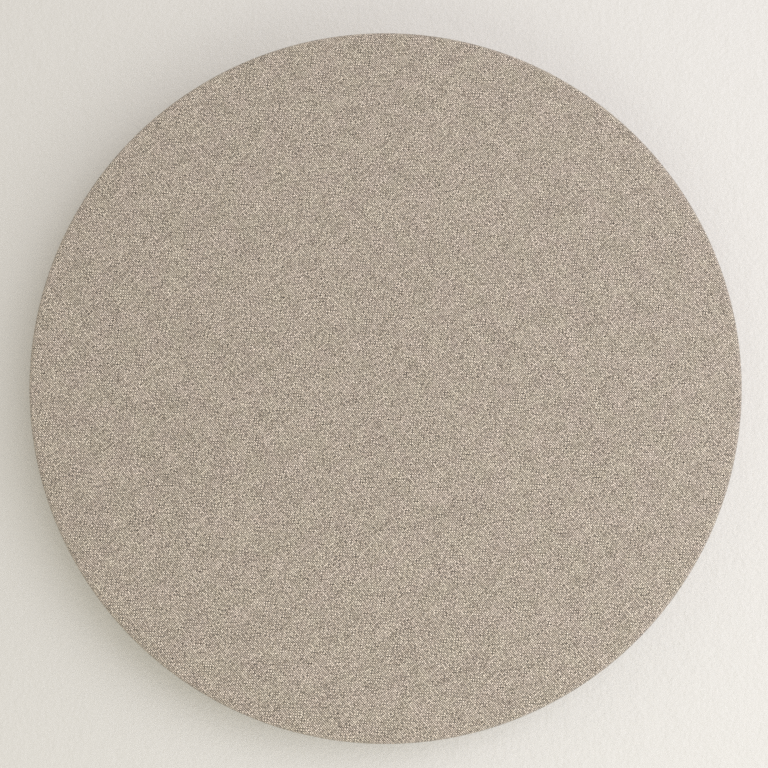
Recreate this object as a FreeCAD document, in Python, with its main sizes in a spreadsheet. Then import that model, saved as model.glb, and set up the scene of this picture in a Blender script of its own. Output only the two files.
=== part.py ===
import FreeCAD, Part
import os

import Sketcher

# A round fabric-covered wall panel on an interlocking cleat, in millimetres.
#
# X is to the right, Z is up, the wall is the plane Y = 0 and the panel's face is towards -Y. The origin is
# the middle of the wall cleat's two holes, on the wall. Every body is drawn with its local Z pointing away
# from the wall and its local Y pointing up, and its Placement turns it into those axes.

# alias, value, what it is
DIMENSIONS = (
    ("panel_radius", 300, "outside of the cover"),
    ("centre_drop", 110, "panel centre below the wall holes"),
    ("cover_gauge", 1, "cover cloth"),
    ("cover_back_round", 2, "cover's outside bend where it turns in"),
    ("hem_edge_radius", 268, "free edge of the turned-in cover"),
    ("wadding_gauge", 3, "face wadding, and the rim's inside bend"),
    ("wadding_play", 0.1, "room between the wadding and the cover"),
    ("impact_gauge", 6, "board behind the wadding"),
    ("hoop_back", 10.5, "hoop's back edge from the wall"),
    ("hoop_depth", 45, "hoop's front-to-back size"),
    ("hoop_gauge", 15, "thickness of the bent hoop"),
    ("hoop_joint", 0.6, "gap in the hoop's butt joint"),
    ("hoop_ease", 1, "rounding of the hoop's front outer edge"),
    ("fill_gap", 0.5, "clearance round the fill"),
    ("rail_gauge", 12, "thickness of a rail"),
    ("rail_width", 60, "height of a rail"),
    ("rail_offset", 147, "rail's middle from the panel's centre"),
    ("splice_length", 96, "splice block along the joint"),
    ("splice_inner", 268, "splice block's flat side from the centre"),
    ("splice_back", 14.5, "splice block's back from the wall"),
    ("splice_depth", 33, "splice block front to back"),
    ("scrim_gauge", 0.5, "dust cover"),
    ("scrim_radius", 291, "dust cover"),
    ("scrim_back", 9, "dust cover's back from the wall"),
    ("shank_radius", 1.75, "wood screw"),
    ("sink_radius", 3.6, "countersunk head"),
    ("sink_depth", 2.3, "countersunk head"),
    ("sink_below", 0.3, "countersunk head below the hoop's face"),
    ("hoop_screw_length", 28, "screws through the hoop"),
    ("screw_point", 4, "tapered tip of a wood screw"),
    ("pilot_gap", 0.05, "clearance of a pilot hole"),
    ("cutter_past", 1, "how far a countersink's cutter starts outside the hoop"),
    ("rail_screw_low", 28.5, "angle of a rail's lower end screw"),
    ("rail_screw_high", 34, "angle of a rail's upper end screw"),
    ("rail_screw_out", 16.5, "rail end screws from the wall"),
    ("splice_screw_angle", 5, "splice screws either side of the joint"),
    ("splice_screw_back", 22, "rear splice screws from the wall"),
    ("splice_screw_front", 40, "front splice screws from the wall"),
    ("staple_wire", 0.6, "staple wire's thickness"),
    ("staple_breadth", 1, "staple wire's width"),
    ("staple_crown", 10, "staple's width"),
    ("staple_leg", 8, "staple's leg below the crown"),
    ("cover_staple_ring", 295, "ring of the cover's staples"),
    ("cover_staple_count", 36, "staples in the cover"),
    ("scrim_staple_ring", 287.5, "ring of the scrim's staples"),
    ("scrim_staple_count", 24, "staples in the scrim"),
    ("cleat_length", 200, "both cleats"),
    ("cleat_gauge", 2, "both cleats' metal"),
    ("cleat_round", 0.4, "rounding of the cleats' long edges"),
    ("cleat_hole_pitch", 160, "wall cleat's two holes"),
    ("cleat_hole_radius", 2.5, "wall cleat's two holes"),
    ("wall_flange", 22, "wall cleat's flange"),
    ("wall_hook_face", 6.3, "wall hook's front from the wall"),
    ("wall_hook_top", 25, "wall hook's top above the holes"),
    ("panel_hook_back", 2, "panel hook's back from the wall"),
    ("panel_hook_tip", 13, "panel hook's lower end above the holes"),
    ("panel_flange_top", 47, "panel cleat's upper edge"),
    ("cleat_screw_height", 37, "panel cleat's screws above the wall holes"),
    ("cleat_screw_pitch", 80, "panel cleat's screws"),
    ("cleat_screw_count", 3, "panel cleat's screws"),
    ("cleat_screw_length", 14, "panel cleat's screws under the head"),
    ("pan_radius", 3.8, "pan head"),
    ("pan_height", 2.4, "pan head"),
    ("pan_round", 1, "pan head's edge"),
    ("recess_width", 0.9, "cross recess in the pan head"),
    ("recess_length", 4, "cross recess in the pan head"),
    ("recess_depth", 1.2, "cross recess in the pan head"),
    ("foot_radius", 9, "rubber foot"),
    ("foot_round", 1.5, "rubber foot's edge"),
    ("foot_bore", 2, "rubber foot's hole"),
    ("foot_recess_radius", 4.5, "recess for the foot's screw head"),
    ("foot_recess_depth", 4.5, "recess for the foot's screw head"),
    ("foot_spacing", 300, "between the two feet"),
    ("foot_screw_length", 15, "foot's screw under the head"),
)

doc = FreeCAD.newDocument("WallPanel")
dims = doc.addObject("Spreadsheet::Sheet", "Dims")
for row, (alias, value, note) in enumerate(DIMENSIONS, start=1):
    dims.set(f"A{row}", alias)
    dims.set(f"B{row}", str(value))
    dims.set(f"C{row}", note)
    dims.setAlias(f"B{row}", alias)
doc.recompute()


def expand(text):
    """An expression with each @word replaced by the sheet's cell of that alias."""
    return text.replace("@", "Dims.")


def number(text):
    """The value of an expression written with @words, to draw geometry close to where it settles."""
    plain = text
    for alias, value, _ in sorted(DIMENSIONS, key=lambda item: -len(item[0])):
        plain = plain.replace("@" + alias, str(value))
    return FreeCAD.Units.Quantity(plain).Value


# Distances from the wall that several pieces share.
HOOP_FRONT = "(@hoop_back + @hoop_depth)"
COVER_FRONT = "(@hoop_back + @hoop_depth + @wadding_gauge + @cover_gauge)"
HOOP_OUTSIDE = "(@panel_radius - @cover_gauge)"
HOOP_INSIDE = "(@panel_radius - @cover_gauge - @hoop_gauge)"
FILL_RADIUS = "(@panel_radius - @cover_gauge - @hoop_gauge - @fill_gap)"
RAIL_FRONT = "(@hoop_back + @rail_gauge)"
HEM_BACK = "(@hoop_back - @cover_gauge)"


class Piece:
    """One sub-part: a body with its sketches and features bound to the sheet."""

    def __init__(self, label, right="0", up="0 - @centre_drop"):
        self.body = doc.addObject("PartDesign::Body", label)
        self.body.Label = label
        self.body.AllowCompound = True
        stand = FreeCAD.Rotation(FreeCAD.Vector(1, 0, 0), 90)
        self.body.Placement = FreeCAD.Placement(FreeCAD.Vector(0, 0, 0), stand)
        self.body.setExpression("Placement.Base.x", expand(right))
        self.body.setExpression("Placement.Base.z", expand(up))
        self.made = 0

    def origin(self, role):
        for feature in self.body.Origin.OriginFeatures:
            if feature.Role == role:
                return feature
        raise ValueError(role)

    def add(self, kind, **settings):
        """A feature whose text settings are expressions and whose other settings are values."""
        self.made += 1
        feature = self.body.newObject(kind, f"{self.body.Name}_{kind.split('::')[1]}{self.made}")
        for name, value in settings.items():
            if isinstance(value, str):
                feature.setExpression(name, expand(value))
            else:
                setattr(feature, name, value)
        self.body.Tip = feature
        return feature

    def sketch(self, plane="XY_Plane", out="0", along="0", angle="0"):
        """A sketch on an origin plane, moved along its normal and its own X, and turned in the plane."""
        self.made += 1
        made = self.body.newObject("Sketcher::SketchObject", f"{self.body.Name}_Sketch{self.made}")
        made.AttachmentSupport = [(self.origin(plane), "")]
        made.MapMode = "FlatFace"
        made.setExpression("AttachmentOffset.Base.x", expand(along))
        made.setExpression("AttachmentOffset.Base.z", expand(out))
        made.setExpression("AttachmentOffset.Rotation.Angle", expand(angle))
        return made

    def pad(self, sketch, length):
        return self.add("PartDesign::Pad", Profile=sketch, Length=length)

    def cut(self, sketch, length):
        """A pocket from the sketch towards the wall, checked to have removed something."""
        return self.checked(self.add("PartDesign::Pocket", Profile=sketch, Length=length))

    def spin(self, sketch, axis="H_Axis"):
        return self.add("PartDesign::Revolution", Profile=sketch, ReferenceAxis=(sketch, [axis]), Angle=360)

    def groove(self, sketch, axis="H_Axis"):
        made = self.add("PartDesign::Groove", Profile=sketch, ReferenceAxis=(sketch, [axis]), Angle=360)
        return self.checked(made)

    def checked(self, feature):
        doc.recompute()
        if feature.Shape.Volume >= feature.BaseFeature.Shape.Volume - 1e-6:
            raise ValueError(f"{feature.Label} removes nothing")
        return feature

    def mirror(self, originals, plane="YZ_Plane"):
        return self.add("PartDesign::Mirrored", Originals=originals, MirrorPlane=(self.origin(plane), [""]))

    def around(self, originals, count):
        axis = (self.origin("Z_Axis"), [""])
        return self.add("PartDesign::PolarPattern", Originals=originals, Axis=axis, Angle=360, Occurrences=count)

    def in_line(self, originals, length, count):
        axis = (self.origin("X_Axis"), [""])
        return self.add(
            "PartDesign::LinearPattern", Originals=originals, Direction=axis, Length=length, Occurrences=count
        )

    def round_edges(self, radius, wanted):
        """A fillet on the edges of the tip that wanted(edge) picks."""
        doc.recompute()
        base = self.body.Tip
        names = [f"Edge{i}" for i, edge in enumerate(base.Shape.Edges, start=1) if wanted(edge)]
        if not names:
            raise ValueError(f"no edge to round on {self.body.Label}")
        return self.add("PartDesign::Fillet", Base=(base, names), Radius=radius)


def hold(sketch, kind, *where, to):
    """A dimension of a sketch, bound to an expression. A coordinate that can be negative is written from 0."""
    place = sketch.addConstraint(Sketcher.Constraint(kind, *where, number(to)))
    sketch.setExpression(f"Constraints[{place}]", expand(to))


def ring(sketch, radius, right="0", up="0"):
    """A circle of this radius about a point of the sketch."""
    centre = FreeCAD.Vector(number(right), number(up), 0)
    place = sketch.addGeometry(Part.Circle(centre, FreeCAD.Vector(0, 0, 1), number(radius)))
    hold(sketch, "Radius", place, to=radius)
    if right == up == "0":
        sketch.addConstraint(Sketcher.Constraint("Coincident", place, 3, -1, 1))
    else:
        hold(sketch, "DistanceX", -1, 1, place, 3, to=right)
        hold(sketch, "DistanceY", -1, 1, place, 3, to=up)


def outline(sketch, corners):
    """A closed outline of straight sides through corners given as (right, up) expressions."""
    points = [FreeCAD.Vector(number(right), number(up), 0) for right, up in corners]
    sides = [
        sketch.addGeometry(Part.LineSegment(start, end))
        for start, end in zip(points, points[1:] + points[:1])
    ]
    for side, following in zip(sides, sides[1:] + sides[:1]):
        sketch.addConstraint(Sketcher.Constraint("Coincident", side, 2, following, 1))
    for side, (right, up) in zip(sides, corners):
        hold(sketch, "DistanceX", -1, 1, side, 1, to=right)
        hold(sketch, "DistanceY", -1, 1, side, 1, to=up)


def box(sketch, right, up, width, height):
    """A rectangle centred on a point."""
    outline(
        sketch,
        [
            (f"{right} + {sx} * ({width}) / 2", f"{up} + {sy} * ({height}) / 2")
            for sx, sy in ((-1, -1), (1, -1), (1, 1), (-1, 1))
        ],
    )


def circle_at(radius, out):
    """Picks full circular edges of this radius at this distance from the wall."""

    def wanted(edge):
        curve = edge.Curve
        return (
            isinstance(curve, Part.Circle)
            and abs(curve.Radius - number(radius)) < 1e-4
            and abs(edge.CenterOfMass.z - number(out)) < 1e-3
        )

    return wanted


def runs_along_x(edge):
    """Picks straight edges as long as a cleat."""
    bounds = edge.BoundBox
    return bounds.XLength > 1 and bounds.YLength < 1e-6 and bounds.ZLength < 1e-6


def sunk_screw(piece, angle, out, gap=None):
    """A countersunk screw driven inwards through the hoop, or, given a gap, the hole cut for one."""
    play = gap or "0"
    sketch = piece.sketch(out=out, angle=angle)
    top = f"{HOOP_OUTSIDE} - @sink_below"
    body = [
        (top, f"@sink_radius + {play}"),
        (f"{top} - @sink_depth", f"@shank_radius + {play}"),
        (f"{top} - @hoop_screw_length + @screw_point", f"@shank_radius + {play}"),
        (f"{top} - @hoop_screw_length - {play}", "0"),
    ]
    if gap is None:
        outline(sketch, [(top, "0")] + body)
        return piece.spin(sketch)
    mouth = f"{HOOP_OUTSIDE} + @cutter_past"
    outline(sketch, [(mouth, "0"), (mouth, f"@sink_radius + {play}")] + body)
    return piece.groove(sketch)


RAIL_SCREWS = ("@rail_screw_low", "@rail_screw_high")
SPLICE_SCREWS = ("@splice_screw_back", "@splice_screw_front")
SPLICE_ANGLE = "0 - 90 + @splice_screw_angle"


def pan_screw(piece, seat, length, up="0", along="0"):
    """A pan-head screw whose head is on the wall's side of its seat, with a cross recess."""
    sketch = piece.sketch("XZ_Plane", out=f"0 - ({up})", along=along)
    top = f"{seat} - @pan_height"
    outline(
        sketch,
        [
            ("0", top),
            ("@pan_radius - @pan_round", top),
            ("@pan_radius", f"{top} + @pan_round"),
            ("@pan_radius", seat),
            ("@shank_radius", seat),
            ("@shank_radius", f"{seat} + {length} - @screw_point"),
            ("0", f"{seat} + {length}"),
        ],
    )
    screw = piece.spin(sketch, "V_Axis")
    recess = piece.sketch(out=f"{top} + @recess_depth", along=along)
    near, far = "@recess_width / 2", "@recess_length / 2"
    arms = ((near, near), (near, far), (f"0 - {near}", far), (f"0 - {near}", near))
    turned = [(f"0 - ({y})", x) for x, y in arms]
    opposite = [(f"0 - ({x})", f"0 - ({y})") for x, y in arms]
    last = [(y, f"0 - ({x})") for x, y in arms]
    loop = [arms[1], arms[2], turned[0], turned[1], turned[2], opposite[0]]
    loop += [opposite[1], opposite[2], last[0], last[1], last[2], arms[0]]
    outline(recess, [(x, f"({up}) + ({y})") for x, y in loop])
    return screw, piece.cut(recess, "@recess_depth")


def staples(label, ring_radius, surface, count):
    """Wire staples driven away from the wall, their crowns along the ring on a surface."""
    piece = Piece(label)
    sketch = piece.sketch("YZ_Plane", out=f"{ring_radius} - @staple_breadth / 2")
    crown = f"{surface} - @staple_wire"
    tip = f"{surface} + @staple_leg"
    side, inner = "@staple_crown / 2", "(@staple_crown / 2 - @staple_wire)"
    outline(
        sketch,
        [
            (f"0 - {side}", crown),
            (side, crown),
            (side, tip),
            (inner, tip),
            (inner, surface),
            (f"0 - {inner}", surface),
            (f"0 - {inner}", tip),
            (f"0 - {side}", tip),
        ],
    )
    piece.around([piece.pad(sketch, "@staple_breadth")], count)


# The hoop, its splice and its screws.
hoop = Piece("rim_hoop")
sketch = hoop.sketch(out="@hoop_back")
ring(sketch, HOOP_OUTSIDE)
ring(sketch, HOOP_INSIDE)
hoop.pad(sketch, "@hoop_depth")
for place in ("@hoop_back", HOOP_FRONT):
    hoop.round_edges("@hoop_ease", circle_at(HOOP_OUTSIDE, place))
sketch = hoop.sketch(out=HOOP_FRONT)
box(sketch, "0", f"0 - {HOOP_OUTSIDE}", "@hoop_joint", "3 * @hoop_gauge")
hoop.cut(sketch, "@hoop_depth")
holes = [
    sunk_screw(hoop, f"{sign} * {angle}", "@rail_screw_out", "@pilot_gap")
    for sign in (1, -1)
    for angle in RAIL_SCREWS
]
holes += [sunk_screw(hoop, SPLICE_ANGLE, out, "@pilot_gap") for out in SPLICE_SCREWS]
hoop.mirror(holes)

splice = Piece("rim_splice")
sketch = splice.sketch(out="@splice_back")
middle = f"0 - ({HOOP_INSIDE} + @splice_inner) / 2"
box(sketch, "0", middle, "@splice_length", f"{HOOP_INSIDE} - @splice_inner")
splice.pad(sketch, "@splice_depth")
sketch = splice.sketch(out="@splice_back + @splice_depth")
ring(sketch, HOOP_INSIDE)
ring(sketch, "@panel_radius")
splice.cut(sketch, "@splice_depth")
splice.mirror([sunk_screw(splice, SPLICE_ANGLE, out, "@pilot_gap") for out in SPLICE_SCREWS])

screws = Piece("splice_screws")
screws.mirror([sunk_screw(screws, SPLICE_ANGLE, out) for out in SPLICE_SCREWS])

screws = Piece("rail_end_screws")
screws.mirror(
    [
        sunk_screw(screws, f"{sign} * {angle}", "@rail_screw_out")
        for sign in (1, -1)
        for angle in RAIL_SCREWS
    ]
)

# The rails, each with pilot holes for what is screwed to it.
for label, sign, drilled in (
    ("upper_rail", 1, ("0 - @cleat_screw_pitch", "0", "@cleat_screw_pitch")),
    ("lower_rail", -1, ("0 - @foot_spacing / 2", "@foot_spacing / 2")),
):
    rail = Piece(label)
    sketch = rail.sketch(out="@hoop_back")
    box(sketch, "0", f"{sign} * @rail_offset", f"2 * {HOOP_INSIDE}", "@rail_width")
    rail.pad(sketch, "@rail_gauge")
    sketch = rail.sketch(out=RAIL_FRONT)
    ring(sketch, HOOP_INSIDE)
    ring(sketch, "2 * @panel_radius")
    rail.cut(sketch, "@rail_gauge")
    deep = "@rail_gauge - @screw_point / 4"
    sketch = rail.sketch(out=f"@hoop_back + {deep}")
    for right in drilled:
        ring(sketch, "@shank_radius + @pilot_gap", right, f"{sign} * @rail_offset")
    rail.cut(sketch, deep)
    angles = [f"{sign} * {angle}" for angle in RAIL_SCREWS]
    rail.mirror([sunk_screw(rail, angle, "@rail_screw_out", "@pilot_gap") for angle in angles])

# The fill: core, impact board and face wadding.
core = Piece("absorber_core")
sketch = core.sketch(out="@hoop_back")
ring(sketch, FILL_RADIUS)
core.pad(sketch, "@hoop_depth - @impact_gauge")
housing = "@rail_gauge + @fill_gap"
for sign in (1, -1):
    sketch = core.sketch(out=f"@hoop_back + {housing}")
    box(sketch, "0", f"{sign} * @rail_offset", "2 * @panel_radius", "@rail_width + 2 * @fill_gap")
    core.cut(sketch, housing)
sketch = core.sketch(out=HOOP_FRONT)
notch = f"{HOOP_INSIDE} - @splice_inner + 2 * @fill_gap"
box(sketch, "0", middle, "@splice_length + 2 * @fill_gap", notch)
core.cut(sketch, "@hoop_depth")

board = Piece("impact_layer")
sketch = board.sketch(out=f"{HOOP_FRONT} - @impact_gauge")
ring(sketch, FILL_RADIUS)
board.pad(sketch, "@impact_gauge")

wadding = Piece("face_wadding")
sketch = wadding.sketch(out=HOOP_FRONT)
wadding_radius = f"{HOOP_OUTSIDE} - @wadding_play"
ring(sketch, wadding_radius)
wadding.pad(sketch, "@wadding_gauge - @wadding_play")
wadding_front = f"{HOOP_FRONT} + @wadding_gauge - @wadding_play"
wadding.round_edges("@wadding_gauge - 2 * @wadding_play", circle_at(wadding_radius, wadding_front))

# The cover: face, side and turned-in hem, with its bends rounded.
cover = Piece("cover_cloth")
sketch = cover.sketch("XZ_Plane")
front = f"{HOOP_FRONT} + @wadding_gauge"
outline(
    sketch,
    [
        ("0", COVER_FRONT),
        ("@panel_radius", COVER_FRONT),
        ("@panel_radius", HEM_BACK),
        ("@hem_edge_radius", HEM_BACK),
        ("@hem_edge_radius", "@hoop_back"),
        (HOOP_OUTSIDE, "@hoop_back"),
        (HOOP_OUTSIDE, front),
        ("0", front),
    ],
)
cover.spin(sketch, "V_Axis")
for radius, ring_radius, out in (
    ("@wadding_gauge + @cover_gauge", "@panel_radius", COVER_FRONT),
    ("@wadding_gauge", HOOP_OUTSIDE, front),
    ("@cover_back_round", "@panel_radius", HEM_BACK),
    ("@cover_back_round - @cover_gauge", HOOP_OUTSIDE, "@hoop_back"),
):
    cover.round_edges(radius, circle_at(ring_radius, out))

# The dust cover on the back, pierced by the cleat's and the feet's screws.
scrim = Piece("back_scrim")
sketch = scrim.sketch(out="@scrim_back")
ring(sketch, "@scrim_radius")
scrim.pad(sketch, "@scrim_gauge")
sketch = scrim.sketch(out="@scrim_back + @scrim_gauge")
for right in ("0 - @cleat_screw_pitch", "0", "@cleat_screw_pitch"):
    ring(sketch, "@shank_radius + @pilot_gap", right, "@rail_offset")
for right in ("0 - @foot_spacing / 2", "@foot_spacing / 2"):
    ring(sketch, "@shank_radius + @pilot_gap", right, "0 - @rail_offset")
scrim.cut(sketch, "@scrim_gauge")

staples("cover_staples", "@cover_staple_ring", HEM_BACK, "@cover_staple_count")
staples("scrim_staples", "@scrim_staple_ring", "@scrim_back", "@scrim_staple_count")


# The two cleats, each an extruded strip along X.
def strip(label, section):
    """A strip of this (up, out) section, as long as both cleats are."""
    piece = Piece(label, up="0")
    sketch = piece.sketch("YZ_Plane", out="0 - @cleat_length / 2")
    outline(sketch, section)
    piece.pad(sketch, "@cleat_length")
    piece.round_edges("@cleat_round", runs_along_x)
    return piece


hook_back = "@wall_hook_face - @cleat_gauge"
step = "@wall_flange / 2 - @cleat_gauge"
wall_cleat = strip(
    "wall_cleat",
    [
        ("0 - @wall_flange / 2", "0"),
        ("@wall_flange / 2", "0"),
        ("@wall_flange / 2", hook_back),
        ("@wall_hook_top", hook_back),
        ("@wall_hook_top", "@wall_hook_face"),
        (step, "@wall_hook_face"),
        (step, "@cleat_gauge"),
        ("0 - @wall_flange / 2", "@cleat_gauge"),
    ],
)
sketch = wall_cleat.sketch(out="@cleat_gauge")
for sign in (1, -1):
    ring(sketch, "@cleat_hole_radius", f"{sign} * @cleat_hole_pitch / 2")
wall_cleat.cut(sketch, "@cleat_gauge")

flange_face = "@scrim_back - @cleat_gauge"
ledge = "@wall_hook_top + @cleat_gauge"
panel_cleat = strip(
    "panel_cleat",
    [
        ("@panel_hook_tip", "@panel_hook_back"),
        (ledge, "@panel_hook_back"),
        (ledge, flange_face),
        ("@panel_flange_top", flange_face),
        ("@panel_flange_top", "@scrim_back"),
        ("@wall_hook_top", "@scrim_back"),
        ("@wall_hook_top", "@panel_hook_back + @cleat_gauge"),
        ("@panel_hook_tip", "@panel_hook_back + @cleat_gauge"),
    ],
)
sketch = panel_cleat.sketch(out="@scrim_back")
for right in ("0 - @cleat_screw_pitch", "0", "@cleat_screw_pitch"):
    ring(sketch, "@shank_radius + @fill_gap / 2", right, "@cleat_screw_height")
panel_cleat.cut(sketch, "@cleat_gauge")

screws = Piece("panel_cleat_screws", up="0")
first = "0 - @cleat_screw_pitch"
made = pan_screw(screws, flange_face, "@cleat_screw_length", "@cleat_screw_height", first)
screws.in_line(made, "2 * @cleat_screw_pitch", "@cleat_screw_count")

# The rubber feet under the lower rail and their screws.
foot_up = "0 - @centre_drop - @rail_offset"
for label, sign in (("left_bumper", -1), ("right_bumper", 1)):
    foot = Piece(label, f"{sign} * @foot_spacing / 2", foot_up)
    sketch = foot.sketch("XZ_Plane")
    outline(
        sketch,
        [
            ("@foot_bore", "@foot_recess_depth"),
            ("@foot_recess_radius", "@foot_recess_depth"),
            ("@foot_recess_radius", "0"),
            ("@foot_radius - @foot_round", "0"),
            ("@foot_radius", "@foot_round"),
            ("@foot_radius", "@scrim_back"),
            ("@foot_bore", "@scrim_back"),
        ],
    )
    foot.spin(sketch, "V_Axis")

screws = Piece("bumper_screws", up=foot_up)
made = pan_screw(screws, "@foot_recess_depth", "@foot_screw_length", along="0 - @foot_spacing / 2")
screws.in_line(made, "@foot_spacing", "2")

# Every object is checked, and each sub-part is written to its own file.
doc.recompute()
for feature in doc.Objects:
    if {"Invalid", "Error"} & set(feature.State):
        raise ValueError(f"{feature.Label} is {feature.State}")
os.makedirs("parts", exist_ok=True)
for body in doc.findObjects("PartDesign::Body"):
    if body.Shape.isNull() or not body.Shape.isValid() or not body.Shape.Solids:
        raise ValueError(f"{body.Label} has no valid shape")
    body.Shape.exportStep(f"parts/{body.Label}.step")
    bounds = body.Shape.BoundBox
    print(
        f"{body.Label:20s} {len(body.Shape.Solids):3d} solids {body.Shape.Volume:12.1f} mm3"
        f"  x {bounds.XMin:.2f} {bounds.XMax:.2f}  y {bounds.YMin:.2f} {bounds.YMax:.2f}"
        f"  z {bounds.ZMin:.2f} {bounds.ZMax:.2f}"
    )
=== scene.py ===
import math

import bpy
import numpy as np
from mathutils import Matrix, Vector


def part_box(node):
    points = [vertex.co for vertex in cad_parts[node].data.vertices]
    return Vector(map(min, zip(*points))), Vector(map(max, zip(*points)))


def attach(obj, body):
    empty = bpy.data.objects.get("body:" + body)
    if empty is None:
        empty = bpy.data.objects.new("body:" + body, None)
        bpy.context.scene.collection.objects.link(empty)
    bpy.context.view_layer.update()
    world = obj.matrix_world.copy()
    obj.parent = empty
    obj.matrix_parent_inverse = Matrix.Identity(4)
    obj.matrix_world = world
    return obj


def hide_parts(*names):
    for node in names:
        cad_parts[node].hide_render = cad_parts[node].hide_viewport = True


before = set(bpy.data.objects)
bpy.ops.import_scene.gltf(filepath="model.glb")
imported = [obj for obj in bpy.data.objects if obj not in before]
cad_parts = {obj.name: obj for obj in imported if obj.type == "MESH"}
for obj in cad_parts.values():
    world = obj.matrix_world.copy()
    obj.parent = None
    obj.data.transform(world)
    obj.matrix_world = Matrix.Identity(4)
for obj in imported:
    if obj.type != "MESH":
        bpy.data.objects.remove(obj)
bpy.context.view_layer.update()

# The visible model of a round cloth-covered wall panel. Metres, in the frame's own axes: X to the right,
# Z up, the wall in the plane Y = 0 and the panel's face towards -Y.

PANEL = "panel"

# Places and sizes read from the frame.
cover_low, cover_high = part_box("cover_cloth")
scrim_low, scrim_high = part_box("back_scrim")
wadding_low, wadding_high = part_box("face_wadding")
CENTRE = Vector(((cover_low[0] + cover_high[0]) / 2, 0, (cover_low[2] + cover_high[2]) / 2))
RADIUS = (cover_high[0] - cover_low[0]) / 2
FRONT, BACK = cover_low[1], cover_high[1]
SCRIM_RADIUS = (scrim_high[0] - scrim_low[0]) / 2
SCRIM_FACE = scrim_high[1]

# The cover's shape.
FRONT_BEND = 0.004
BACK_BEND = 0.002
HEM_EDGE = 0.268
CLOTH = 0.0009
STAPLES = 36
FACE_UNEVENNESS = 0.00012
SIDE_RIPPLE = 0.00022

# The gathered hem: its folds, the puffs between the staples, and how wide each staple holds it down.
FOLDS_PER_STAPLE = 3
FOLD_HEIGHT = 0.0005
PUFF_HEIGHT = 0.0006
COVER_HOLD = 0.028
SCRIM_HOLD = 0.022
PUCKER_END = 0.2985
PUCKER_FADE_OUT = 0.004
PUCKER_FADE_IN = 0.012

# The scrim's shape.
SCRIM_STAPLES = 24
SCRIM_GAUGE = 0.0004
SCRIM_SNIP = 0.0007
SCRIM_SLACK = 0.00035
SCRIM_CURL = 0.0005
SCRIM_CURL_HOLD = 0.03
SCRIM_LIFT_END = 0.2905

# The felt and the fill.
FELT_INSET = 0.00018
FELT_LUMPS = 0.00012
WOOL_VOXEL = 0.0028
WOOL_FUZZ = 0.00035

# The weave: the direction of each set of yarns on the face, and the distance between its yarns.
WARP_ANGLE = math.radians(-51.2)
WEFT_ANGLE = math.radians(40.4)
WARP_PITCH = 0.001498
WEFT_PITCH = 0.001355
WEAVE_RELIEF = 0.0005


# ---------------------------------------------------------------- meshes


def make_piece(name, points, faces, body):
    """A smooth-shaded mesh object from arrays of points and faces, riding on a body."""
    mesh = bpy.data.meshes.new(name)
    mesh.from_pydata([tuple(p) for p in points], [], [tuple(f) for f in faces])
    mesh.validate()
    mesh.update()
    mesh.shade_smooth()
    piece = bpy.data.objects.new(name, mesh)
    bpy.context.scene.collection.objects.link(piece)
    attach(piece, body)
    return piece


def disc_grid(count):
    """A square grid laid onto the unit disc: points (n, 2), quads, and the rim's points in order."""
    steps = np.linspace(-1, 1, count + 1)
    a, b = np.meshgrid(steps, steps, indexing="ij")
    wide = np.abs(a) >= np.abs(b)
    radius = np.where(wide, a, b)
    safe = np.where(radius == 0, 1, radius)
    turn = np.where(wide, math.pi / 4 * b / safe, math.pi / 2 - math.pi / 4 * a / safe)
    points = np.stack([radius * np.cos(turn), radius * np.sin(turn)], axis=-1).reshape(-1, 2)
    index = np.arange((count + 1) ** 2).reshape(count + 1, count + 1)
    quads = np.stack([index[:-1, :-1], index[1:, :-1], index[1:, 1:], index[:-1, 1:]], axis=-1)
    rim = np.concatenate([index[:-1, 0], index[-1, :-1], index[:0:-1, -1], index[0, :0:-1]])
    return points, quads.reshape(-1, 4), rim


def waves(seed, count, slowest, fastest):
    """A smooth repeatable function of an angle, nearly always from -1 to 1."""
    chance = np.random.default_rng(seed)
    rates = chance.integers(slowest, fastest + 1, count)
    phases = chance.uniform(0, 2 * math.pi, count)
    usual_peak = 1.6

    def at(angle):
        total = sum(np.sin(rate * angle + phase) for rate, phase in zip(rates, phases))
        return total / math.sqrt(count) / usual_peak

    return at


def ease(x):
    """A smooth step from 0 to 1."""
    x = np.clip(x, 0, 1)
    return x * x * (3 - 2 * x)


pleat_shift = waves(11, 7, 5, 40)
pleat_size = waves(12, 9, 9, 60)


def held_down(angle, count, width):
    """0 at each of count evenly spaced staples, rising to 1 between them."""
    step = 2 * math.pi / count
    away = np.abs((angle + step / 2) % step - step / 2)
    return 1 - np.exp(-((away / width) ** 2))


def pucker(radius, angle):
    """How far the gathered hem stands off the hoop's back, at points of the back."""
    folds = 0.5 + 0.5 * np.cos(STAPLES * FOLDS_PER_STAPLE * angle + 2.2 * pleat_shift(angle))
    puff = 0.5 - 0.5 * np.cos(STAPLES * angle)
    height = FOLD_HEIGHT * folds**1.5 * (1 + 0.5 * pleat_size(angle)) + PUFF_HEIGHT * puff
    clamp = held_down(angle, STAPLES, COVER_HOLD) * held_down(angle, SCRIM_STAPLES, SCRIM_HOLD)
    fade = ease((PUCKER_END - radius) / PUCKER_FADE_OUT)
    fade = fade * ease((radius - HEM_EDGE + PUCKER_FADE_IN) / PUCKER_FADE_IN)
    return height * clamp * fade


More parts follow.
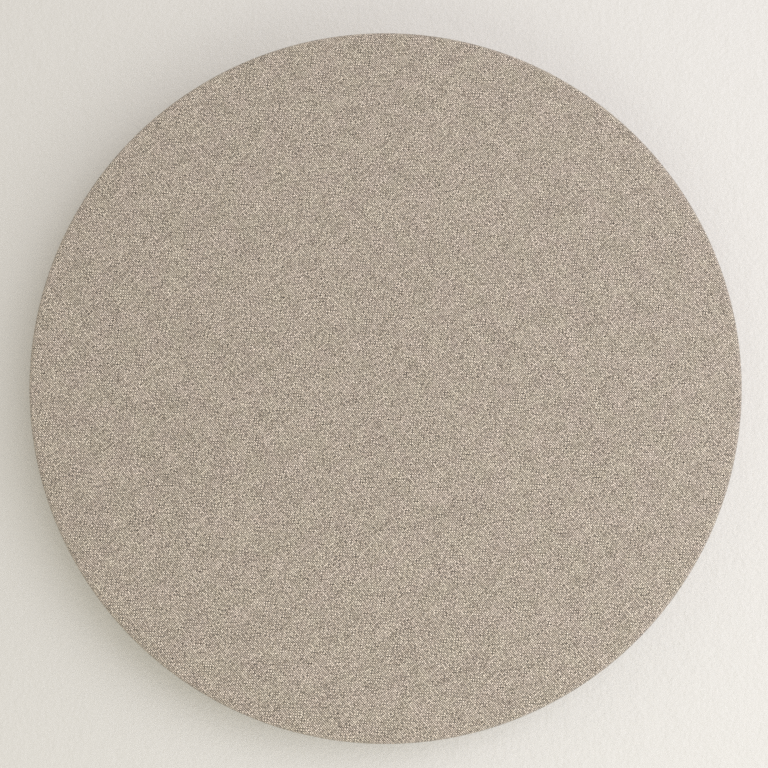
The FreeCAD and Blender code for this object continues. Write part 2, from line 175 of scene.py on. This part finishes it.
def cover_profile():
    """The cover's section past the face: radius, depth and radius on the flat cut, for each ring."""
    rings = []
    flat = RADIUS - FRONT_BEND
    for turn in np.linspace(0, math.pi / 2, 8)[1:]:
        radius = RADIUS - FRONT_BEND + FRONT_BEND * math.sin(turn)
        rings.append((radius, FRONT + FRONT_BEND - FRONT_BEND * math.cos(turn), flat + FRONT_BEND * turn))
    flat = rings[-1][2]
    start, end = FRONT + FRONT_BEND, BACK - BACK_BEND
    for depth in np.linspace(start, end, 13)[1:]:
        rings.append((RADIUS, depth, flat + depth - start))
    flat = rings[-1][2]
    for turn in np.linspace(0, math.pi / 2, 6)[1:]:
        radius = RADIUS - BACK_BEND + BACK_BEND * math.cos(turn)
        rings.append((radius, end + BACK_BEND * math.sin(turn), flat + BACK_BEND * turn))
    flat = rings[-1][2]
    inner = RADIUS - BACK_BEND
    for radius in np.linspace(inner, HEM_EDGE, 15)[1:]:
        rings.append((radius, BACK, flat + inner - radius))
    return rings


def make_cover():
    """The cover as one skin over the face, the side and the hem, and the radius of its flat cut.

    Each point also keeps its place on the flat cut, in the attribute "cut".
    """
    flat_points, quads, rim = disc_grid(150)
    face = flat_points * (RADIUS - FRONT_BEND)
    dish = FACE_UNEVENNESS * (np.sin(face[:, 0] * 31 + 1) * np.sin(face[:, 1] * 27 + 2))
    dish *= ease((1 - np.linalg.norm(flat_points, axis=1)) * 12)
    points = [np.stack([face[:, 0], FRONT + dish, face[:, 1]], axis=1)]
    cut = [np.stack([face[:, 0], face[:, 1], 0 * face[:, 0]], axis=1)]
    faces = [quads]
    angle = np.arctan2(flat_points[rim, 1], flat_points[rim, 0])
    before, total = rim, len(face)
    gather = waves(5, 9, 26, 90)
    rounding = 1e-6
    for radius, depth, flat in cover_profile():
        reach = np.full(len(angle), radius)
        out = np.full(len(angle), depth)
        if radius < RADIUS - rounding and depth > BACK - BACK_BEND:
            out += pucker(radius, angle)
        # Close to the back bend the spare cloth shows as faint upright ripples on the side.
        reach += SIDE_RIPPLE * ease((depth - FRONT) / (BACK - FRONT) * 2 - 0.9) * gather(angle)
        points.append(np.stack([reach * np.cos(angle), out, reach * np.sin(angle)], axis=1))
        cut.append(np.stack([flat * np.cos(angle), flat * np.sin(angle), 0 * angle], axis=1))
        ring = total + np.arange(len(angle))
        total += len(angle)
        faces.append(np.stack([before, ring, np.roll(ring, -1), np.roll(before, -1)], axis=1))
        before = ring
    points = np.concatenate(points) + np.array(CENTRE)
    piece = make_piece("woven_cover", points, np.concatenate(faces), PANEL)
    place = piece.data.attributes.new("cut", "FLOAT_VECTOR", "POINT")
    place.data.foreach_set("vector", np.concatenate(cut).ravel())
    shell(piece, CLOTH)
    return piece, flat


def shell(piece, gauge):
    """Gives a skin its thickness, on the side away from its normals."""
    modifier = piece.modifiers.new("gauge", "SOLIDIFY")
    modifier.thickness = gauge
    modifier.offset = -1
    bpy.context.view_layer.objects.active = piece
    with bpy.context.temp_override(object=piece, active_object=piece):
        bpy.ops.object.modifier_apply(modifier=modifier.name)


def make_scrim():
    """The dust cover: one cut disc that follows the hem's puffs, with an uneven snipped edge."""
    flat_points, quads, _ = disc_grid(180)
    angle = np.arctan2(flat_points[:, 1], flat_points[:, 0])
    share = np.linalg.norm(flat_points, axis=1)
    snip = waves(21, 14, 6, 160)
    radius = share * (SCRIM_RADIUS - SCRIM_SNIP + SCRIM_SNIP * snip(angle) * share**40)
    slack = SCRIM_SLACK * np.sin(flat_points[:, 0] * 9 + 1) * np.cos(flat_points[:, 1] * 8)
    slack *= ease((0.9 - share) * 5)
    lift = pucker(np.minimum(radius, SCRIM_LIFT_END), angle) + slack
    curl = SCRIM_CURL * ease((share - 0.975) / 0.025) * (0.5 + 0.5 * waves(23, 8, 11, 70)(angle))
    curl *= held_down(angle, SCRIM_STAPLES, SCRIM_CURL_HOLD)
    depth = SCRIM_FACE + lift + curl
    points = np.stack([radius * np.cos(angle), depth, radius * np.sin(angle)], axis=1) + np.array(CENTRE)
    piece = make_piece("scrim_sheet", points, quads, PANEL)
    piece.data.flip_normals()
    shell(piece, SCRIM_GAUGE)
    return piece


def make_wadding():
    """The felt over the face: two lumpy skins joined round a rolled edge."""
    gauge = wadding_high[1] - wadding_low[1]
    flat_points, quads, rim = disc_grid(140)
    face = flat_points * (RADIUS - FRONT_BEND)
    lumps = FELT_LUMPS * np.sin(face[:, 0] * 190) * np.sin(face[:, 1] * 170 + np.sin(face[:, 0] * 60))
    front = np.stack([face[:, 0], wadding_low[1] + FELT_INSET + lumps, face[:, 1]], axis=1)
    points, faces, before, total = [front], [quads], rim, len(front)
    angle = np.arctan2(flat_points[rim, 1], flat_points[rim, 0])
    for turn in np.linspace(0, math.pi / 2, 7)[1:]:
        radius = RADIUS - FRONT_BEND + (gauge - FELT_INSET) * math.sin(turn)
        depth = wadding_low[1] + gauge - (gauge - FELT_INSET) * math.cos(turn)
        edge = np.stack([radius * np.cos(angle), 0 * angle + depth, radius * np.sin(angle)], axis=1)
        ring = total + np.arange(len(angle))
        total += len(angle)
        points.append(edge)
        faces.append(np.stack([before, ring, np.roll(ring, -1), np.roll(before, -1)], axis=1))
        before = ring
    back = np.stack([face[:, 0], 0 * face[:, 0] + wadding_high[1], face[:, 1]], axis=1)
    points.append(back)
    faces.append(quads[:, ::-1] + total)
    ring = rim + total
    faces.append(np.stack([before, ring, np.roll(ring, -1), np.roll(before, -1)], axis=1))
    points = np.concatenate(points) + np.array(CENTRE)
    return make_piece("felt_layer", points, np.concatenate(faces), PANEL)


def make_core():
    """The fill: the core's own shape with softened arrises and a fibrous surface."""
    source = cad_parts["absorber_core"]
    piece = bpy.data.objects.new("wool_core", source.data.copy())
    bpy.context.scene.collection.objects.link(piece)
    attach(piece, PANEL)
    remesh = piece.modifiers.new("remesh", "REMESH")
    remesh.mode = "VOXEL"
    remesh.voxel_size = WOOL_VOXEL
    smooth = piece.modifiers.new("smooth", "SMOOTH")
    smooth.factor = 0.5
    smooth.iterations = 3
    bpy.context.view_layer.objects.active = piece
    for modifier in (remesh.name, smooth.name):
        with bpy.context.temp_override(object=piece, active_object=piece):
            bpy.ops.object.modifier_apply(modifier=modifier)
    mesh = piece.data
    places = np.empty(len(mesh.vertices) * 3)
    mesh.vertices.foreach_get("co", places)
    places = places.reshape(-1, 3)
    normals = np.array([v.normal for v in mesh.vertices])
    grain = np.sin(places @ [410, 530, 370]) * np.sin(places @ [-290, 610, 450])
    places -= normals * (WOOL_FUZZ * (0.6 + 0.4 * grain))[:, None]
    mesh.vertices.foreach_set("co", places.ravel())
    mesh.update()
    mesh.shade_smooth()
    return piece


# ---------------------------------------------------------------- materials


class Graph:
    """Builds a node material in short lines. An input may be a socket, a number or a tuple."""

    def __init__(self, name):
        self.material = bpy.data.materials.new(name)
        self.material.use_nodes = True
        self.tree = self.material.node_tree
        self.tree.nodes.clear()

    def put(self, socket, value):
        if isinstance(value, bpy.types.NodeSocket):
            self.tree.links.new(value, socket)
        elif value is not None:
            socket.default_value = value

    def node(self, kind, inputs=(), **settings):
        made = self.tree.nodes.new(kind)
        for name, value in settings.items():
            setattr(made, name, value)
        for name, value in dict(inputs).items():
            self.put(made.inputs[name], value)
        return made

    def math(self, operation, *values):
        made = self.node("ShaderNodeMath", operation=operation)
        for socket, value in zip(made.inputs, values):
            self.put(socket, value)
        return made.outputs[0]

    def vector(self, operation, *values):
        made = self.node("ShaderNodeVectorMath", operation=operation)
        for socket, value in zip(made.inputs, values):
            self.put(socket, value)
        return made.outputs["Value" if operation in ("DOT_PRODUCT", "LENGTH") else "Vector"]

    def join(self, x=0, y=0, z=0):
        return self.node("ShaderNodeCombineXYZ", {0: x, 1: y, 2: z}).outputs[0]

    def noise(self, place, scale, detail=2, rough=0.5):
        settings = {"Vector": place, "Scale": scale, "Detail": detail, "Roughness": rough}
        return self.node("ShaderNodeTexNoise", settings).outputs["Fac"]

    def spread(self, value, low, high, to_low=0, to_high=1):
        """A straight change of range, held at its ends."""
        inputs = {"Value": value, "From Min": low, "From Max": high, "To Min": to_low, "To Max": to_high}
        return self.node("ShaderNodeMapRange", inputs, clamp=True).outputs[0]

    def mix(self, share, first, second, blend="MIX"):
        made = self.node("ShaderNodeMix", data_type="RGBA", blend_type=blend)
        self.put(made.inputs[0], share)
        self.put(made.inputs[6], first)
        self.put(made.inputs[7], second)
        return made.outputs[2]

    def bump(self, height, distance, strength=1.0):
        inputs = {"Height": height, "Distance": distance, "Strength": strength}
        return self.node("ShaderNodeBump", inputs).outputs[0]

    def place(self):
        """The position on the object, in metres."""
        return self.node("ShaderNodeTexCoord").outputs["Object"]

    def finish(self, **inputs):
        """Ends the material with a Principled shader whose inputs are given by name, with _ for spaces."""
        shader = self.node("ShaderNodeBsdfPrincipled")
        for name, value in inputs.items():
            self.put(shader.inputs[name.replace("_", " ")], value)
        end = self.node("ShaderNodeOutputMaterial")
        self.tree.links.new(shader.outputs[0], end.inputs["Surface"])
        return self.material


def woven_material():
    """A coarse slubby plain weave, drawn on the flat cut so that it runs on over the rim, with painted
    shade in the gaps between its yarns and painted light on their tops.
    """
    g = Graph("slubby_plain_weave")
    cut = g.node("ShaderNodeAttribute", attribute_name="cut").outputs["Vector"]

    def thread_place(angle, pitch, seed):
        """Position across a set of parallel yarns, in yarns, with the set's slight wander."""
        across = (-math.sin(angle) / pitch, math.cos(angle) / pitch, 0)
        plain = g.vector("DOT_PRODUCT", cut, across)
        shifted = g.vector("ADD", cut, (seed, -seed, seed))
        slow = g.math("SUBTRACT", g.noise(shifted, 28, 1), 0.5)
        quick = g.math("SUBTRACT", g.noise(shifted, 260, 1), 0.5)
        wander = g.math("MULTIPLY_ADD", slow, 1.6, g.math("MULTIPLY", quick, 0.7))
        return g.math("ADD", plain, wander)

    u = thread_place(WARP_ANGLE, WARP_PITCH, 3.1)
    v = thread_place(WEFT_ANGLE, WEFT_PITCH, 7.7)
    warp, weft = g.math("FLOOR", u), g.math("FLOOR", v)

    def wave(along, index, turned):
        """Up and down of a yarn along its length: 1 on top of the cloth, -1 underneath."""
        phase = g.math("MULTIPLY", g.math("ADD", g.math("SUBTRACT", along, 0.5), index), math.pi)
        swing = g.math("COSINE", phase)
        return g.math("MULTIPLY", swing, -1) if turned else swing

    def yarn_noise(index, along, stretch, seed, detail=2):
        """Noise that belongs to one yarn and runs slowly along it."""
        where = g.join(g.math("MULTIPLY", index, 7.31), g.math("MULTIPLY", along, stretch), seed)
        return g.noise(where, 1, detail)

    def yarn(place, index, along, turned, seed):
        """A yarn's height, the painted light on its round top with painted shade at its sides and where it
        dips under, and its slub, which is how thick it is here.
        """
        slub = yarn_noise(index, along, 0.09, seed)
        width = g.spread(slub, 0.3, 0.7, 0.78, 1.1)
        off = g.math("MULTIPLY", g.math("SUBTRACT", g.math("FRACT", place), 0.5), 2)
        ratio = g.math("DIVIDE", off, width)
        round_part = g.math("SUBTRACT", 1, g.math("MULTIPLY", ratio, ratio))
        round_part = g.math("MAXIMUM", round_part, 0)
        swing = g.math("MULTIPLY", wave(along, index, turned), 0.55)
        height = g.math("MULTIPLY_ADD", g.math("SQRT", round_part), 0.8, swing)
        # Painted light and shade: bright on the yarn's round top, dark at its sides and where it dips
        # under the crossing yarn.
        light = g.math("MULTIPLY_ADD", round_part, 0.8, swing)
        return height, light, slub

    warp_height, warp_painted_light, warp_slub = yarn(u, warp, v, False, 1.7)
    weft_height, weft_painted_light, weft_slub = yarn(v, weft, u, True, 5.3)
    height = g.math("MAXIMUM", warp_height, weft_height)
    on_top = g.spread(g.math("SUBTRACT", warp_height, weft_height), -0.08, 0.08)

    def tone(index, along, slub, seed, dark, light):
        """A yarn's colour: its own shade, changing in flecks along it."""
        shade = yarn_noise(index, along, 0.16, seed)
        fleck = yarn_noise(index, along, 1.3, seed + 9, 1)
        both = g.math("MULTIPLY_ADD", fleck, 0.45, g.math("MULTIPLY", shade, 0.55))
        both = g.math("MULTIPLY_ADD", g.math("SUBTRACT", slub, 0.5), 0.1, both)
        return g.mix(g.spread(both, 0.37, 0.63), dark, light)

    warp_colour = tone(warp, v, warp_slub, 2.2, (0.71, 0.61, 0.507, 1), (1.0, 0.895, 0.775, 1))
    weft_colour = tone(weft, u, weft_slub, 8.4, (0.46, 0.388, 0.317, 1), (0.94, 0.832, 0.718, 1))
    colour = g.mix(on_top, weft_colour, warp_colour)

    def crossing(over, along):
        """A random number from 0 to 1 that belongs to one crossing of the two sets."""
        cell = g.join(g.math("ADD", warp, over), g.math("ADD", weft, along), 0)
        return g.node("ShaderNodeTexWhiteNoise", {"Vector": cell}).outputs["Value"]

    # A yarn that stands proud at one crossing is drawn in at the next, so neighbours differ.
    proud_contrast = 0.95
    proud = crossing(0, 0)
    for over, along in ((1, 0), (-1, 0), (0, 1), (0, -1)):
        proud = g.math("MULTIPLY_ADD", crossing(over, along), -0.25, proud)
    lightness = g.math("MULTIPLY_ADD", proud, proud_contrast, 1)

    def strands(across, along, seed):
        """The fine fibres of a yarn, lying along it with a slight twist."""
        twisted = g.math("MULTIPLY_ADD", along, 3, g.math("MULTIPLY", across, 13))
        return g.noise(g.join(twisted, g.math("MULTIPLY", along, 1.6), seed), 1.0, 2, 0.6)

    strand = g.node("ShaderNodeMix", {0: on_top, 2: strands(v, u, 4.4), 3: strands(u, v, 6.1)}).outputs[0]
    fibre = g.noise(g.join(g.math("MULTIPLY", u, 2.2), g.math("MULTIPLY", v, 2.2), 0), 1.0, 3, 0.7)
    # Painted shade and highlight: the yarn tops are painted lit, and the gaps and dips between yarns are
    # painted dark, down to near black. The crossing, fibre and strand factors below are the yarns' own
    # random tone.
    painted_shade_and_tone = g.spread(g.math("MAXIMUM", warp_painted_light, weft_painted_light), 0.43, 1.19, 0.01, 1.0)
    fibre_light = g.spread(fibre, 0.25, 0.75, 0.35, 1.62)
    strand_light = g.spread(strand, 0.3, 0.7, 0.86, 1.13)
    for part in (lightness, fibre_light, strand_light):
        painted_shade_and_tone = g.math("MULTIPLY", painted_shade_and_tone, part)
    painted_shade_and_tone = g.math("MINIMUM", painted_shade_and_tone, 1)
    shade = g.node("ShaderNodeCombineColor", {0: painted_shade_and_tone, 1: painted_shade_and_tone, 2: painted_shade_and_tone}).outputs[0]
    # The yarn colours are multiplied by the painted shade and the yarns' random tone.
    colour = g.mix(1.0, colour, shade, "MULTIPLY")
    patches = g.spread(g.noise(cut, 48, 2), 0.35, 0.65)
    tint = g.mix(patches, (1.012, 0.982, 0.985, 1), (0.992, 0.99, 0.955, 1))
    colour = g.mix(1.0, colour, tint, "MULTIPLY")
    relief = g.math("MULTIPLY_ADD", fibre, 0.1, g.math("MULTIPLY_ADD", strand, 0.22, height))
    normal = g.bump(relief, WEAVE_RELIEF)
    return g.finish(
        Base_Color=colour, Roughness=0.92, Normal=normal, Specular_IOR_Level=0.18,
        Sheen_Weight=0.35, Sheen_Roughness=0.45,
    )


def scrim_material():
    """Black spun non-woven: tangled fibres with a grid of pressed bond points."""
    g = Graph("spunbond_scrim")
    place = g.place()
    parts = g.node("ShaderNodeSeparateXYZ", {0: place})
    x, z = parts.outputs[0], parts.outputs[2]
    fibre = g.noise(place, 900, 4, 0.7)
    cloud = g.noise(place, 45, 3)
    bond_pitch = 0.0021
    along = g.math("DIVIDE", g.math("ADD", x, z), bond_pitch)
    across = g.math("DIVIDE", g.math("SUBTRACT", x, z), bond_pitch)
    squares = [
        g.math("MULTIPLY", part, part)
        for part in (g.math("SUBTRACT", g.math("FRACT", line), 0.5) for line in (along, across))
    ]
    point = g.spread(g.math("SQRT", g.math("ADD", *squares)), 0.16, 0.26)
    height = g.math("MULTIPLY_ADD", fibre, 0.6, point)
    value = g.math("MULTIPLY_ADD", fibre, 0.5, g.math("MULTIPLY", cloud, 0.5))
    colour = g.mix(g.spread(value, 0.3, 0.7), (0.007, 0.007, 0.008, 1), (0.036, 0.036, 0.039, 1))
    colour = g.mix(g.spread(point, 0, 1, 0.6, 0), colour, (0.004, 0.004, 0.005, 1))
    rough = g.spread(point, 0, 1, 0.58, 0.85)
    return g.finish(Base_Color=colour, Roughness=rough, Normal=g.bump(height, 0.0002), Sheen_Weight=0.1)


def felt_material():
    """Off-white needled felt: matted fibres in faint clouds."""
    g = Graph("needled_felt")
    place = g.place()
    fibre = g.noise(place, 1400, 4, 0.75)
    cloud = g.noise(place, 60, 3)
    share = g.spread(g.math("MULTIPLY_ADD", fibre, 0.5, g.math("MULTIPLY", cloud, 0.5)), 0.3, 0.7)
    colour = g.mix(share, (0.62, 0.61, 0.57, 1), (0.82, 0.81, 0.77, 1))
    return g.finish(Base_Color=colour, Roughness=0.95, Normal=g.bump(fibre, 0.0003), Sheen_Weight=0.3)


def wool_material():
    """Yellow-brown mineral wool, with its strands lying in layers parallel to the face."""
    g = Graph("mineral_wool")
    place = g.place()
    stretched = g.vector("MULTIPLY", place, (1, 4, 1))
    strands = g.noise(stretched, 420, 5, 0.75)
    cloud = g.noise(place, 40, 3)
    share = g.spread(g.math("MULTIPLY_ADD", strands, 0.6, g.math("MULTIPLY", cloud, 0.4)), 0.32, 0.68)
    colour = g.mix(share, (0.36, 0.29, 0.12, 1), (0.66, 0.56, 0.28, 1))
    return g.finish(Base_Color=colour, Roughness=0.9, Normal=g.bump(strands, 0.0007), Sheen_Weight=0.2)


def board_material():
    """Pressed fibre board: flattened strands with dark specks."""
    g = Graph("pressed_fibre_board")
    place = g.place()
    strands = g.noise(g.vector("MULTIPLY", place, (1, 6, 1)), 260, 5, 0.7)
    specks = g.spread(g.noise(place, 900, 1), 0.62, 0.7)
    colour = g.mix(g.spread(strands, 0.3, 0.7), (0.42, 0.34, 0.17, 1), (0.6, 0.5, 0.28, 1))
    colour = g.mix(specks, colour, (0.22, 0.17, 0.08, 1))
    return g.finish(Base_Color=colour, Roughness=0.85, Normal=g.bump(strands, 0.0004))


def plywood_material(name, bent):
    """Birch plywood. Its plies are stacked across the hoop's wall, or through a flat board."""
    g = Graph(name)
    place = g.vector("SUBTRACT", g.place(), tuple(CENTRE))
    parts = g.node("ShaderNodeSeparateXYZ", {0: place})
    x, y, z = parts.outputs
    reach = g.math("SQRT", g.math("ADD", g.math("MULTIPLY", x, x), g.math("MULTIPLY", z, z)))
    turn = g.math("MULTIPLY", g.math("ARCTAN2", z, x), RADIUS)
    through, length, breadth = (reach, turn, y) if bent else (y, x, z)
    ply_gauge = 0.00136
    ply = g.math("DIVIDE", through, ply_gauge)
    layer = g.math("FLOOR", ply)
    odd = g.math("GREATER_THAN", g.math("FRACT", g.math("MULTIPLY", layer, 0.5)), 0.25)
    glue = g.spread(g.math("ABSOLUTE", g.math("SUBTRACT", g.math("FRACT", ply), 0.5)), 0.42, 0.49)
    long_waves, fine_waves = g.math("MULTIPLY", length, 6), g.math("MULTIPLY", breadth, 90)
    figure = g.noise(g.join(long_waves, fine_waves, g.math("MULTIPLY", layer, 3.7)), 1.2, 4, 0.6)
    pore_length, pore_breadth = g.math("MULTIPLY", length, 160), g.math("MULTIPLY", breadth, 2600)
    pores = g.noise(g.join(pore_length, pore_breadth, layer), 1, 3, 0.7)
    colour = g.mix(g.spread(figure, 0.3, 0.7), (0.5, 0.345, 0.19, 1), (0.69, 0.52, 0.325, 1))
    colour = g.mix(g.spread(pores, 0.55, 0.75, 0, 0.35), colour, (0.3, 0.18, 0.09, 1))
    facing = g.node("ShaderNodeNewGeometry").outputs["Normal"]
    if bent:
        outward = g.vector("NORMALIZE", g.join(x, 0, z))
        flat = g.math("ABSOLUTE", g.vector("DOT_PRODUCT", facing, outward))
    else:
        flat = g.math("ABSOLUTE", g.node("ShaderNodeSeparateXYZ", {0: facing}).outputs[1])
    edge = g.spread(flat, 0.5, 0.7, 1, 0)
    end_grain = g.mix(odd, (0.62, 0.46, 0.28, 1), (0.4, 0.26, 0.14, 1))
    end_grain = g.mix(glue, end_grain, (0.16, 0.09, 0.05, 1))
    colour = g.mix(edge, colour, g.mix(0.35, end_grain, colour))
    rough = g.spread(pores, 0.3, 0.7, 0.5, 0.66)
    return g.finish(Base_Color=colour, Roughness=rough, Normal=g.bump(pores, 0.00006))


def aluminium_material():
    """Extruded aluminium as it leaves the mill: drawn lines along it, faint patches and scuffs."""
    g = Graph("mill_finish_aluminium")
    place = g.place()
    lines = g.noise(g.vector("MULTIPLY", place, (2, 700, 700)), 3.0, 4, 0.7)
    patches = g.noise(place, 70, 3)
    scuffs = g.spread(g.noise(g.vector("MULTIPLY", place, (60, 900, 240)), 1.6, 2), 0.63, 0.7)
    share = g.math("MULTIPLY_ADD", lines, 0.6, g.math("MULTIPLY", patches, 0.4))
    colour = g.mix(g.spread(share, 0.3, 0.7), (0.4, 0.405, 0.41, 1), (0.62, 0.62, 0.63, 1))
    colour = g.mix(g.math("MULTIPLY", scuffs, 0.35), colour, (0.35, 0.35, 0.36, 1))
    rough = g.spread(share, 0.3, 0.7, 0.26, 0.46)
    normal = g.bump(lines, 0.00003, 0.6)
    return g.finish(Base_Color=colour, Metallic=1.0, Roughness=rough, Normal=normal, Anisotropic=0.4)


def zinc_material(name, low, high):
    """Bright zinc plate: crystals of slightly different tone, rubbed duller in places."""
    g = Graph(name)
    place = g.place()
    cells = g.node("ShaderNodeTexVoronoi", {"Vector": place, "Scale": 1600}).outputs["Color"]
    crystal = g.node("ShaderNodeSeparateColor", {0: cells}).outputs[0]
    dull = g.noise(place, 500, 3)
    share = g.math("MULTIPLY_ADD", crystal, 0.4, g.math("MULTIPLY", dull, 0.6))
    colour = g.mix(share, low, high)
    rough = g.spread(share, 0.2, 0.8, 0.22, 0.45)
    return g.finish(Base_Color=colour, Metallic=1.0, Roughness=rough, Normal=g.bump(share, 0.00002, 0.5))


def rubber_material():
    """Black moulded rubber with a fine grain and a greyish bloom."""
    g = Graph("moulded_rubber")
    place = g.place()
    grain = g.noise(place, 2400, 3, 0.6)
    bloom = g.noise(place, 160, 3)
    colour = g.mix(g.spread(bloom, 0.35, 0.7), (0.016, 0.016, 0.017, 1), (0.042, 0.041, 0.04, 1))
    rough = g.spread(bloom, 0.3, 0.7, 0.55, 0.78)
    return g.finish(Base_Color=colour, Roughness=rough, Normal=g.bump(grain, 0.00005))


def dress(piece, material):
    """Puts one material on every slot of a piece."""
    if not piece.material_slots:
        piece.data.materials.append(material)
    for slot in piece.material_slots:
        slot.link = "OBJECT"
        slot.material = material


# ---------------------------------------------------------------- the object

cover, cut_radius = make_cover()
dress(cover, woven_material())
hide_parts("cover_cloth")

scrim = make_scrim()
dress(scrim, scrim_material())
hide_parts("back_scrim")

felt = make_wadding()
dress(felt, felt_material())
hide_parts("face_wadding")

core = make_core()
dress(core, wool_material())
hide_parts("absorber_core")

flat_ply = plywood_material("flat_birch_ply", bent=False)
screw_zinc = zinc_material("bright_zinc", (0.34, 0.34, 0.345, 1), (0.58, 0.58, 0.575, 1))
staple_zinc = zinc_material("galvanised_wire", (0.36, 0.37, 0.38, 1), (0.62, 0.63, 0.64, 1))
aluminium = aluminium_material()
rubber = rubber_material()
FINISHES = {
    "rim_hoop": plywood_material("bent_birch_ply", bent=True),
    "rim_splice": flat_ply,
    "upper_rail": flat_ply,
    "lower_rail": flat_ply,
    "impact_layer": board_material(),
    "splice_screws": screw_zinc,
    "rail_end_screws": screw_zinc,
    "panel_cleat_screws": screw_zinc,
    "bumper_screws": screw_zinc,
    "cover_staples": staple_zinc,
    "scrim_staples": staple_zinc,
    "panel_cleat": aluminium,
    "wall_cleat": aluminium,
    "left_bumper": rubber,
    "right_bumper": rubber,
}
for node, material in FINISHES.items():
    dress(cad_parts[node], material)

# ---------------------------------------------------------------- stage, light and camera


def plane(name, corners, material):
    """A flat stage piece, which is no part of the object."""
    mesh = bpy.data.meshes.new(name)
    mesh.from_pydata(corners, [], [tuple(range(len(corners)))])
    made = bpy.data.objects.new(name, mesh)
    bpy.context.scene.collection.objects.link(made)
    mesh.materials.append(material)
    return made


def wall_material():
    """Roller-stippled white paint. Seen from behind it lets the view through to the panel's back."""
    g = Graph("rolled_wall_paint")
    place = g.place()
    stipple = g.noise(place, 240, 2, 0.5)
    swell = g.noise(place, 60, 1)
    height = g.math("ADD", swell, stipple)
    stipple_relief = 0.0006
    normal = g.bump(height, stipple_relief)
    finish = {"Base Color": (0.68, 0.667, 0.647, 1), "Roughness": 0.75, "Normal": normal}
    paint = g.node("ShaderNodeBsdfPrincipled", finish)
    behind = g.node("ShaderNodeNewGeometry").outputs["Backfacing"]
    clear = g.node("ShaderNodeBsdfTransparent")
    both = g.node("ShaderNodeMixShader", {0: behind, 1: paint.outputs[0], 2: clear.outputs[0]})
    end = g.node("ShaderNodeOutputMaterial")
    g.tree.links.new(both.outputs[0], end.inputs["Surface"])
    return g.material


def floor_material():
    """A plain pale floor with a faint cloudiness."""
    g = Graph("pale_floor")
    cloud = g.noise(g.place(), 3, 3)
    colour = g.mix(g.spread(cloud, 0.3, 0.7), (0.62, 0.61, 0.59, 1), (0.66, 0.65, 0.63, 1))
    return g.finish(Base_Color=colour, Roughness=0.8)


WALL_GAP = 0.0004
WALL_REACH = 1.1
FLOOR_DROP = 1.5
FLOOR = CENTRE.z - FLOOR_DROP
FLOOR_REACH = 6
left, right, top = -WALL_REACH, WALL_REACH, CENTRE.z + WALL_REACH
wall_corners = [(left, FLOOR), (right, FLOOR), (right, top), (left, top)]
wall = plane("stage_wall", [(x, WALL_GAP, z) for x, z in wall_corners], wall_material())
wall.visible_shadow = False
wall.visible_diffuse = False
wall.visible_glossy = False
signs = [(-1, -1), (1, -1), (1, 1), (-1, 1)]
floor_corners = [(x * FLOOR_REACH, y * FLOOR_REACH, FLOOR) for x, y in signs]
plane("stage_floor", floor_corners, floor_material())


def area_light(name, place, target, width, height, power, colour):
    """A rectangular light that faces a target. Its power is in watts."""
    data = bpy.data.lights.new(name, "AREA")
    data.shape = "RECTANGLE"
    data.size = width
    data.size_y = height
    data.energy = power
    data.color = colour
    lamp = bpy.data.objects.new(name, data)
    lamp.location = place
    aim = Vector(target) - Vector(place)
    lamp.rotation_euler = aim.to_track_quat("-Z", "Y").to_euler()
    bpy.context.scene.collection.objects.link(lamp)


middle = tuple(CENTRE)
DAYLIGHT = (0.87, 0.885, 1.0)
area_light("window", (1.7, -1.0, -0.11), middle, 1.5, 1.7, 14.2, DAYLIGHT)
area_light("far_window", (1.0, -2.2, 0.45), middle, 1.6, 1.6, 23.6, DAYLIGHT)
area_light("floor_bounce", (0.2, -1.0, -1.15), middle, 1.6, 0.8, 4.2, (0.95, 1.0, 0.86))
area_light("back_fill", (1.6, 3.2, 1.2), middle, 2.6, 2.6, 80, (1.0, 0.99, 0.98))

world = bpy.data.worlds.new("studio")
bpy.context.scene.world = world
world.use_nodes = True
world.node_tree.nodes["Background"].inputs["Color"].default_value = (1.0, 0.95, 0.82, 1)
world.node_tree.nodes["Background"].inputs["Strength"].default_value = 0.7

# The camera looks at the panel's middle from slightly below it.
VIEW_ANGLE = math.radians(40)
BELOW = math.radians(4)
DISTANCE = 0.8855
AIM_SHIFT = Vector((-0.0012, 0, -0.003))
face_centre = Vector((CENTRE.x, FRONT, CENTRE.z))
camera_data = bpy.data.cameras.new("camera")
camera_data.sensor_fit = "HORIZONTAL"
camera_data.angle = VIEW_ANGLE
camera_data.clip_start = 0.02
camera_data.clip_end = 30
camera = bpy.data.objects.new("camera", camera_data)
camera.location = face_centre + DISTANCE * Vector((0, -math.cos(BELOW), -math.sin(BELOW)))
aim = face_centre + AIM_SHIFT - camera.location
camera.rotation_euler = aim.to_track_quat("-Z", "Y").to_euler()
bpy.context.scene.collection.objects.link(camera)
bpy.context.scene.camera = camera
bpy.context.scene.view_settings.view_transform = "Standard"
bpy.context.scene.cycles.use_denoising = False
